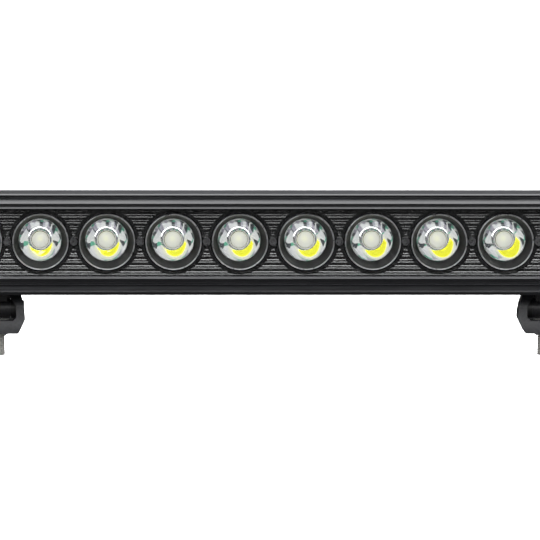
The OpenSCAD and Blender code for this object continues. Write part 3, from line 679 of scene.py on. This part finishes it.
def make_face_plate():
    # one rib from its upper edge down, as (depth, height): a face raised along its edges, and
    # then the groove under it. Each rib is a step further back than the one above it.
    face = [(0.07, 0), (0, 0.38), (0.42, 1.25), (0.28, 1.9), (0.62, RIB_FACE - 0.05)]
    groove = [(GROOVE_D, RIB_FACE), (GROOVE_D, RIB_PITCH - 0.1)]
    upper = []
    for i in range(RIB_COUNT):
        y = FRONT_Y + TOP_RIB_D + i * RIB_STEP
        v = PLATE_HALF - i * RIB_PITCH
        upper += [Vector((y + depth, v - height)) for depth, height in face + groove]
    upper.append(Vector((FRONT_Y + PLATE_FLOOR_D, PLATE_HALF - RIB_COUNT * RIB_PITCH)))
    lower = [Vector((p.x, -p.y)) for p in reversed(upper)]
    back = [Vector((FRONT_Y + PLATE_BACK_D, v)) for v in (-PLATE_HALF, PLATE_HALF)]
    outline = rounded(upper + lower + back, 0.07, steps=2)
    outline = [Vector((p.x, p.y + MID_Z)) for p in outline]
    mesh = extruded("face_plate", [outline], -PLATE_HALF_L, PLATE_HALF_L)

    leds = [at_front(x) for x in LED_XS]
    screws = [at_front(x) for x in BETWEEN_XS]
    mesh = combine(mesh, rods(leds, MOAT_R, -1, MOAT_D, steps=96))
    mesh = combine(mesh, rods(leds, CUP_HOLE_R, -1, PLATE_BACK_D + 1, steps=96))
    boss = [(0, 10.3), (2.6, 10.3), (3.02, 10.5), (3.02, 14.0), (2.2, 14.2), (2.2, BOARD_SEAT_D),
            (0, BOARD_SEAT_D)]
    pocket = [(0, -1), (2.65, -1), (2.65, 10.5), (2.4, 10.7), (2.4, 12.6), (0, 12.6)]
    mesh = combine(mesh, turned_set("bosses", boss, screws, 40), "UNION")
    mesh = combine(mesh, turned_set("pockets", pocket, screws, 40))
    mesh = combine(mesh, rods(screws, FACE_SCREW_R, -1, BOARD_SEAT_D + 1, steps=32))
    return piece("face_plate_ribs", mesh, "light_bar", "face_plate", "plate_plastic", PLATE)


make_face_plate()


# ---- Cups: a black cone, the lip of its rim painted light grey as a highlight ----

CUP_FRONT_D = 7


def make_cups():
    rim, wall = 16.95, 0.8
    flange_r, flange_d, flange_t = 17.6, 8.05, 1.4
    foot_r, foot_d = 14.2, 28
    mouth_r, seat_r, seat_d, seat_t = 12.65, 12.9, 16.5, 1.25
    lip = [
        (rim - wall, 0.35), (rim - wall + 0.12, 0.1), (rim - wall / 2, 0), (rim - 0.12, 0.1),
        (rim, 0.35),
    ]
    outside = [
        (rim, flange_d), (flange_r, flange_d), (flange_r, flange_d + flange_t),
        (15.2, flange_d + flange_t), (foot_r, foot_d), (9, foot_d),
    ]
    lens_seat = [(mouth_r, seat_d + seat_t), (seat_r, seat_d + seat_t), (seat_r, seat_d)]
    # the lip's segments take the painted highlight
    highlight_segments = len(lip) - 1
    parts = [
        turned(
            [(r, d + CUP_FRONT_D) for r, d in lip + outside + lens_seat], at_front(x), ALONG_Y, 96,
            material=lambda segment: int(segment < highlight_segments),
        )
        for x in LED_XS
    ]
    return piece("cup_ring_set", merged("cups", parts), "light_bar", "cups", "cup_plastic", CUP, RIM_HIGHLIGHT)


make_cups()


# ---- Collimating lenses ----

OPTIC_FRONT_D = 23.5
FLANK_STEPS = 12
DOME_STEPS = 10


def make_optics():
    # a shallow dome in the middle of the front face, with a slit round it
    dome_r, dome_rise = 5, 1.6
    angles = [i * math.pi / 2 / DOME_STEPS for i in range(DOME_STEPS + 1)]
    dome = [(dome_r * math.sin(a), dome_rise * (1 - math.cos(a))) for a in angles]
    slit = [(dome_r, 2.4), (5.3, 2.4), (5.8, 2.4), (5.8, 0.15)]
    face = [(5.95, 0), (12.7, 0), (12.85, 0.15), (12.85, 1.2)]
    # the flank narrows towards the LED as a parabola with its focus there
    wide, narrow, start, length = 12.6, 6.74, 1.2, 9.1
    flank = []
    for i in range(FLANK_STEPS + 1):
        t = i / FLANK_STEPS
        radius = math.sqrt(narrow ** 2 + (wide ** 2 - narrow ** 2) * (1 - t))
        flank.append((radius, start + length * t))
    led_pocket = [(4.2, start + length), (4.2, 5.2), (2.1, 4.6), (0, 4.4)]
    profile = [(r, d + OPTIC_FRONT_D) for r, d in dome + slit + face + flank + led_pocket]

    clear_part, frosted_part, shade_part = 0, 1, 2

    def finish(segment):
        """The dome is frosted. The slit's inner wall is painted dark as shade, and so is the floor
        next to it, and the rest of the slit's floor is frosted."""
        if segment < DOME_STEPS:
            return frosted_part
        return {0: shade_part, 1: shade_part, 2: frosted_part}.get(segment - DOME_STEPS, clear_part)

    parts = [
        turned(profile, at_front(x), ALONG_Y, 72, closed=False, material=finish) for x in LED_XS
    ]
    return piece(
        "collimator_set", merged("optics", parts), "light_bar", "optics", "clear_optic",
        OPTIC, FROSTED, GROOVE_SHADE,
    )


make_optics()


# ---- LED packages: a ceramic base with two by two chips, which shine with a painted glow ----

def block(x0, x1, y0, y1, z0, z1, edge):
    """A box with chamfered edges round its front face, which looks towards -Y."""
    front = [(x0 + edge, y0, z0 + edge), (x1 - edge, y0, z0 + edge),
             (x1 - edge, y0, z1 - edge), (x0 + edge, y0, z1 - edge)]
    middle = [(x0, y0 + edge, z0), (x1, y0 + edge, z0), (x1, y0 + edge, z1), (x0, y0 + edge, z1)]
    back = [(x, y1, z) for x, _, z in middle]
    faces = [(0, 1, 2, 3), (11, 10, 9, 8)]
    for base in (0, 4):
        for k in range(4):
            j = (k + 1) % 4
            faces.append((base + k, base + 4 + k, base + 4 + j, base + j))
    return [Vector(v) for v in front + middle + back], faces


def make_leds():
    half = 2
    front, back = -1.8, -1
    chip, chip_t = 0.7, 0.15
    ceramic, painted_glow_chip = 0, 1
    parts = []
    for x in LED_XS:
        verts, faces = block(x - half, x + half, front, back, MID_Z - half, MID_Z + half, 0.15)
        parts.append((verts, faces, [ceramic] * len(faces)))
        for dx in (-0.78, 0.08):
            for dz in (-0.78, 0.08):
                x0, z0 = x + dx, MID_Z + dz
                verts, faces = block(x0, x0 + chip, front - chip_t, front, z0, z0 + chip, 0.05)
                parts.append((verts, faces, [painted_glow_chip] * len(faces)))
    mesh = merged("leds", parts)
    return piece(
        "led_emitters", mesh, "light_bar", "led_packages", "led_ceramic", CERAMIC, PHOSPHOR,
    )


make_leds()


# ---- Studs with rolled threads and hexagonal heads ----

THREAD_R = 4.0
THREAD_PITCH = 1.25
THREAD_DEPTH = 0.62
TIP_R, TIP_H = 3.1, 0.5
SHOULDER_R = 4.3
HEAD_CORNER_R = 7.5
HEAD_LOW_Z, HEAD_TOP_Z = 4.3, 9.55
HEAD_LOW_EDGE, HEAD_TOP_EDGE = 0.4, 0.45


def thread(angle, height):
    """The radius of the stud's thread at an angle and a height."""
    phase = (height / THREAD_PITCH - angle / (2 * math.pi)) % 1
    rise = 1 - abs(2 * phase - 1)
    crest = min(1, max(0, (rise - 0.12) / 0.7))
    return THREAD_R - THREAD_DEPTH * (1 - crest)


def hexagon(half_flat, corner_r=math.inf):
    """The radius of a hexagon by its half width across flats, its corners cut back to corner_r."""
    def at(angle, height):
        sector = (angle + math.pi / 6) % (math.pi / 3) - math.pi / 6
        return min(half_flat / math.cos(sector), corner_r)
    return at


def make_stud(side, word):
    shank = [(0, FLOOR_Z), (TIP_R, FLOOR_Z)]
    height = FLOOR_Z + TIP_H
    while height < 0:
        shank.append((thread, height))
        height += THREAD_PITCH / 8
    shank += [(SHOULDER_R, 0), (SHOULDER_R, HEAD_LOW_Z)]
    half_flat = HEAD_CORNER_R * math.cos(math.pi / 6)
    whole = hexagon(half_flat)
    shaved = hexagon(half_flat, half_flat * 1.02)
    head = [
        (shaved, HEAD_LOW_Z), (whole, HEAD_LOW_Z + HEAD_LOW_EDGE),
        (whole, HEAD_TOP_Z - HEAD_TOP_EDGE), (shaved, HEAD_TOP_Z), (0, HEAD_TOP_Z),
    ]
    part = turned(shank + head, (side * FOOT_X, 0, 0), ALONG_Z, 48, closed=False)
    return piece(
        "threaded_stud_" + word, merged("stud", [part]), word + "_foot", "stud_" + word,
        "stud_steel", STUD,
    )


make_stud(-1, "left")
make_stud(1, "right")


# ---- Pieces that keep the CAD's shape, with their edges broken ----

def softened(node, body, slot, width):
    return piece(node + "_edged", bevelled(node, width), body, node, slot, CARRIED[slot])


for word in ("left", "right"):
    softened("end_cap_" + word, "light_bar", "cap_black", 0.6)
    softened("foot_" + word, word + "_foot", "foot_black", 0.8)


# ---- The CAD nodes that are kept as they are: new materials on the same meshes ----

for node in NODES.values():
    for slot in node.material_slots:
        key = next(k for k in CARRIED if slot.material.name.startswith(k))
        slot.material = CARRIED[key]


# ---- Stage ----

def floor():
    """The floor. The camera sees it white, but it throws light back on the object as a dark
    floor would, so that the black faces which look down on it stay black."""
    size = 15
    mesh = bpy.data.meshes.new("floor")
    corners = [(-size, -size), (size, -size), (size, size), (-size, size)]
    mesh.from_pydata([(x, y, FLOOR_Z * MM) for x, y in corners], [], [(0, 1, 2, 3)])
    obj = bpy.data.objects.new("floor", mesh)
    SCENE.collection.objects.link(obj)
    material = bpy.data.materials.new("floor_white")
    tree, nodes, links = empty_tree(material)
    out = nodes.new("ShaderNodeOutputMaterial")
    bsdf = nodes.new("ShaderNodeBsdfPrincipled")
    bsdf.inputs["Roughness"].default_value = 0.9
    bsdf.inputs["Specular IOR Level"].default_value = 0.1
    seen = nodes.new("ShaderNodeLightPath").outputs["Is Camera Ray"]
    shade = nodes.new("ShaderNodeMix")
    shade.data_type = "RGBA"
    shade.inputs["A"].default_value = (0.05, 0.05, 0.05, 1)
    links.new(seen, shade.inputs["Factor"])
    pale = tint(tree, noise(tree, 2), (0.80, 0.80, 0.80), (0.83, 0.83, 0.83))
    links.new(pale, shade.inputs["B"])
    links.new(shade.outputs["Result"], bsdf.inputs["Base Color"])
    links.new(seen, bsdf.inputs["Emission Strength"])
    bsdf.inputs["Emission Color"].default_value = (1, 1, 1, 1)
    links.new(bsdf.outputs["BSDF"], out.inputs["Surface"])
    mesh.materials.append(material)


floor()


def softbox(name, place, size, power):
    """A rectangular light at a place in metres, turned towards the middle of the bar."""
    light = bpy.data.lights.new(name, "AREA")
    light.shape = "RECTANGLE"
    light.size, light.size_y = size
    light.energy = power
    obj = bpy.data.objects.new(name, light)
    obj.location = place
    towards = Vector((0, 0, MID_Z * MM)) - Vector(place)
    obj.rotation_euler = towards.to_track_quat("-Z", "Y").to_euler()
    obj.visible_camera = False
    SCENE.collection.objects.link(obj)


softbox("top_box", (0, -0.1, 1.3), (2.6, 1.9), 100)
softbox("high_front", (0, -1.45, 1.3), (2.6, 0.6), 5)
softbox("low_front", (0, -2.2, 0.775), (2.6, 0.6), 18)
softbox("left_box", (-1.7, -0.9, 0.5), (0.7, 0.7), 6)
softbox("right_box", (1.7, -0.9, 0.4), (0.7, 0.7), 4)


def studio():
    """White behind the object, and for its lighting a room that is bright overhead and dim level."""
    world = bpy.data.worlds.new("studio")
    SCENE.world = world
    tree, nodes, links = empty_tree(world)
    out = nodes.new("ShaderNodeOutputWorld")
    seen = nodes.new("ShaderNodeBackground")
    felt = nodes.new("ShaderNodeBackground")
    mix = nodes.new("ShaderNodeMixShader")
    path = nodes.new("ShaderNodeLightPath")
    where = nodes.new("ShaderNodeTexCoord")
    split = nodes.new("ShaderNodeSeparateXYZ")
    links.new(where.outputs["Generated"], split.inputs["Vector"])
    brightness = spread(tree, split.outputs["Z"], 0.07, 0.9, start=0.3, end=0.9)
    links.new(brightness, felt.inputs["Strength"])
    felt.inputs["Color"].default_value = (0.96, 0.98, 1, 1)
    seen.inputs["Color"].default_value = (1, 1, 1, 1)
    seen.inputs["Strength"].default_value = 1.1
    links.new(path.outputs["Is Camera Ray"], mix.inputs["Fac"])
    links.new(felt.outputs["Background"], mix.inputs[1])
    links.new(seen.outputs["Background"], mix.inputs[2])
    links.new(mix.outputs["Shader"], out.inputs["Surface"])


studio()
SCENE.cycles.transparent_max_bounces = 24
SCENE.view_settings.view_transform = "Standard"


# ---- Camera: a long lens nearly in front of the bar and a little above it ----

AZIMUTH = math.radians(-2)
ELEVATION = math.radians(5)
LENS = 600
SENSOR = 36
# the width of the view at the bar's front, and how far the bar stands from the view's middle
VIEW_W = 324.324
BAR_RIGHT_OF_MIDDLE = 2.222
BAR_ABOVE_MIDDLE = 16.156
DISTANCE = VIEW_W * LENS / SENSOR

ahead = Vector((
    -math.sin(AZIMUTH) * math.cos(ELEVATION),
    math.cos(AZIMUTH) * math.cos(ELEVATION),
    -math.sin(ELEVATION),
))
right = ahead.cross(Vector((0, 0, 1))).normalized()
up = right.cross(ahead)
# rolled a fraction of a degree, until the bar's lines lie level in the picture
level = math.atan2(up.x, right.x)
right, up = (
    right * math.cos(level) + up * math.sin(level),
    up * math.cos(level) - right * math.sin(level),
)
aim = Vector((0, FRONT_Y, MID_Z)) - right * BAR_RIGHT_OF_MIDDLE - up * BAR_ABOVE_MIDDLE
camera_data = bpy.data.cameras.new("camera")
camera_data.lens = LENS
camera_data.sensor_width = SENSOR
camera_data.clip_start = 0.1
camera_data.clip_end = 60
camera = bpy.data.objects.new("camera", camera_data)
camera.location = (aim - ahead * DISTANCE) * MM
camera.rotation_euler = Matrix((right, up, -ahead)).transposed().to_euler()
SCENE.collection.objects.link(camera)
SCENE.camera = camera

bpy.context.view_layer.update()
